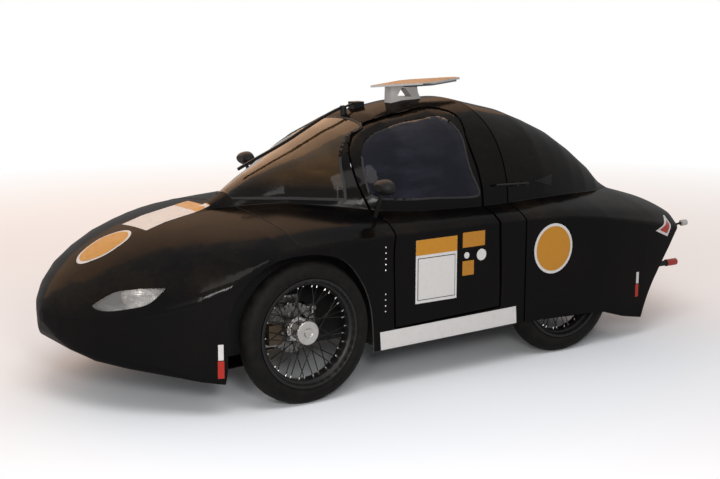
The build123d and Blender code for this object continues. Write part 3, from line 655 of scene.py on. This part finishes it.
# ---------------------------------------------------------------- seam, rivets, ducts and curtains
def seam_line(station, half_width, width=3):
    """A thin dark groove line across the nose where the front and centre shells meet."""
    bpy.ops.mesh.primitive_grid_add(x_subdivisions=1, y_subdivisions=90, size=1, location=at(station, 0, ABOVE))
    line = bpy.context.active_object
    line.scale = (width / 1000, 2 * half_width / 1000, 1)
    bpy.ops.object.transform_apply(location=True, rotation=True, scale=True)
    apply_modifier(line, "SHRINKWRAP", wrap_method="PROJECT", target=skins["nose_shell"], offset=0.0002,
                   **PRESS["top"])
    face_towards(line, OUTWARD["top"])
    apply_modifier(line, "SOLIDIFY", thickness=0.0006, offset=1)
    smooth(line, 40)
    return settle(line, "front_seam", "body", gasket, "body_black")


def studs(name, panel, body, side, spots, radius=0.0034):
    """Domed rivet heads set on a panel's side."""
    heads = []
    sign = SIDES[side]
    for station, z in spots:
        hit, spot, normal, _ = skins[panel].ray_cast(at(station, sign * ABOVE, z), Vector((0, -sign, 0)))
        if not hit:
            continue
        bpy.ops.mesh.primitive_uv_sphere_add(segments=12, ring_count=8, radius=radius, location=spot)
        head = bpy.context.active_object
        head.scale = (1, 1, 0.45)
        head.rotation_euler = normal.to_track_quat("Z", "Y").to_euler()
        heads.append(head)
    return joined(heads, name, body, bright_steel, "bright_steel", 60)


CURTAIN_REAR = -330
CURTAIN_LENGTH = 800
CURTAIN_Y = 376
CURTAIN_FOOT_Z = 452


def curtain(side):
    """The black inner wall of a wheel well, from the tub's edge up to the shell."""
    bpy.ops.mesh.primitive_grid_add(x_subdivisions=40, y_subdivisions=1, size=1)
    sheet = bpy.context.active_object
    shells = [skins["nose_shell"], skins["centre_body"]]
    for vertex in sheet.data.vertices:
        station = CURTAIN_REAR + CURTAIN_LENGTH * (vertex.co.x + 0.5)
        spot = at(station, SIDES[side] * CURTAIN_Y, CURTAIN_FOOT_Z)
        if vertex.co.y > 0:
            rises = [shell.ray_cast(spot, Vector((0, 0, 1))) for shell in shells]
            tops = [rise[1].z for rise in rises if rise[0]]
            spot.z = min(tops) - 0.002 if tops else spot.z + 0.02
        vertex.co = spot
    apply_modifier(sheet, "SOLIDIFY", thickness=0.003, offset=0)
    return settle(sheet, f"arch_curtain_{side}", "body", composite, "composite_black")


HINGE_RIVETS = [(-352, z) for z in (575, 552, 529, 506, 483, 387, 364, 340, 317)]
DUCT = [(-1352, 710), (-1232, 741), (-1232, 741), (-1374, 760)]
REAR_TRIANGLE = [(-1968, 434), (-1872, 472), (-2018, 517), (-2026, 514)]
FIELD_SHARE = 0.36

seam_line(27, 596)
for side, sign in SIDES.items():
    studs(f"hinge_rivets_{side}", "centre_body", "body", side, HINGE_RIVETS)
    curtain(side)
    # A black film over each duct mouth is painted shade for the recess inside the duct.
    mouth = [at(station, sign * BESIDE, z) for station, z in DUCT]
    film(f"duct_mouth_shade_{side}", mouth, side, "rear_shell", gasket, "rear_lid", thickness=0.002)
    plate = [at(station, sign * BESIDE, z) for station, z in REAR_TRIANGLE]
    film(f"rear_triangle_{side}", plate, side, "rear_shell", white_film, "rear_lid")
    field = [corner.lerp(sum(plate[:3], Vector()) / 3, FIELD_SHARE) for corner in plate]
    film(f"rear_triangle_field_{side}", field, side, "rear_shell", red_film, "rear_lid", lift=DISC_LAYER)


# ---------------------------------------------------------------- wheels
HUB_REACH = 0.050
RIM_REACH = 0.183
NIPPLE_CIRCLE = 0.181
NIPPLE_OFFSET_Y = 0.0065
SPOKES_PER_FLANGE = 18
BEAD_RADIUS = 0.2185
BEAD_OFFSET_Y = 0.0405


def dressed_wheel(corner, side, hub):
    """A wheel's merged copy: black rim, dark spokes and bright hub, told apart by distance from the axle."""
    wheel = smooth_skin(f"wheel_{corner}_{side}", aluminium, "bare_aluminium", 35)
    wheel.data.materials.append(black_metal)
    wheel.data.materials.append(spoke_steel)
    for face in wheel.data.polygons:
        reach = math.hypot(face.center.x - hub.x, face.center.z - hub.z)
        if reach > RIM_REACH:
            face.material_index = 1
        elif reach > HUB_REACH:
            face.material_index = 2
    return wheel


def spoke_nipples(corner, side, hub):
    """The bright nipples where the spokes pass through the rim."""
    bpy.ops.mesh.primitive_cylinder_add(vertices=10, radius=0.0034, depth=0.012)
    pattern = bpy.context.active_object
    bpy.ops.object.mode_set(mode="EDIT")
    bpy.ops.mesh.select_all(action="SELECT")
    bpy.ops.mesh.bevel(offset=0.0007, segments=1)
    bpy.ops.object.mode_set(mode="OBJECT")
    heads = []
    pitch = math.tau / SPOKES_PER_FLANGE
    for flange in (1, -1):
        for number in range(SPOKES_PER_FLANGE):
            angle = pitch * (number if flange > 0 else number + 0.5)
            head = pattern if not heads else pattern.copy()
            if heads:
                head.data = pattern.data.copy()
                bpy.context.scene.collection.objects.link(head)
            head.location = hub + Vector((NIPPLE_CIRCLE * math.cos(angle), SIDES[side] * flange * NIPPLE_OFFSET_Y,
                                          NIPPLE_CIRCLE * math.sin(angle)))
            head.rotation_euler = (0, math.pi / 2 - angle, 0)
            heads.append(head)
    return joined(heads, f"nipples_{corner}_{side}", f"{corner}_{side}_wheel", bright_steel, "bright_steel")


def bead_line(corner, side, hub, face_sign):
    """The fine moulded ring on one wall of a tyre, just outside the rim."""
    centre = hub + Vector((0, SIDES[side] * face_sign * BEAD_OFFSET_Y, 0))
    bpy.ops.mesh.primitive_torus_add(major_radius=BEAD_RADIUS, minor_radius=0.0022, major_segments=96,
                                     minor_segments=8, location=centre, rotation=(math.pi / 2, 0, 0))
    line = bpy.context.active_object
    line.scale = (1, 1, 0.8)
    smooth(line, 60)
    face = "out" if face_sign > 0 else "in"
    return settle(line, f"bead_line_{corner}_{side}_{face}", f"{corner}_{side}_wheel", rubber, "tyre_rubber")


for side in SIDES:
    for corner in ("front", "rear"):
        hub = joint_at[f"spin_{corner}_{side}"]
        dressed_wheel(corner, side, hub)
        spoke_nipples(corner, side, hub)
        smooth_skin(f"tyre_{corner}_{side}", rubber, "tyre_rubber", 40)
        for face_sign in (1, -1):
            bead_line(corner, side, hub, face_sign)

# ---------------------------------------------------------------- lamps
BOWL_BACK = 0.045
BOWL_CUT_BACK = 0.04
for side, sign in SIDES.items():
    low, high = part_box(f"headlamp_{side}")
    middle = (low + high) / 2
    bpy.ops.mesh.primitive_uv_sphere_add(segments=32, ring_count=16, radius=1,
                                         location=middle + Vector((-BOWL_BACK, -sign * 0.012, -0.006)))
    bowl = bpy.context.active_object
    bowl.scale = (0.075, 0.088, 0.040)
    bpy.ops.object.transform_apply(location=True, rotation=True, scale=True)
    bpy.ops.object.mode_set(mode="EDIT")
    bpy.ops.mesh.select_all(action="SELECT")
    bpy.ops.mesh.bisect(plane_co=middle + Vector((-BOWL_CUT_BACK, 0, 0)), plane_no=(1, sign * 0.45, 0.3),
                        clear_outer=True)
    bpy.ops.mesh.select_all(action="SELECT")
    bpy.ops.mesh.flip_normals()
    bpy.ops.object.mode_set(mode="OBJECT")
    apply_modifier(bowl, "SOLIDIFY", thickness=0.002, offset=1)
    smooth(bowl, 50)
    settle(bowl, f"lamp_bowl_{side}", "body", reflector, "lamp_clear")
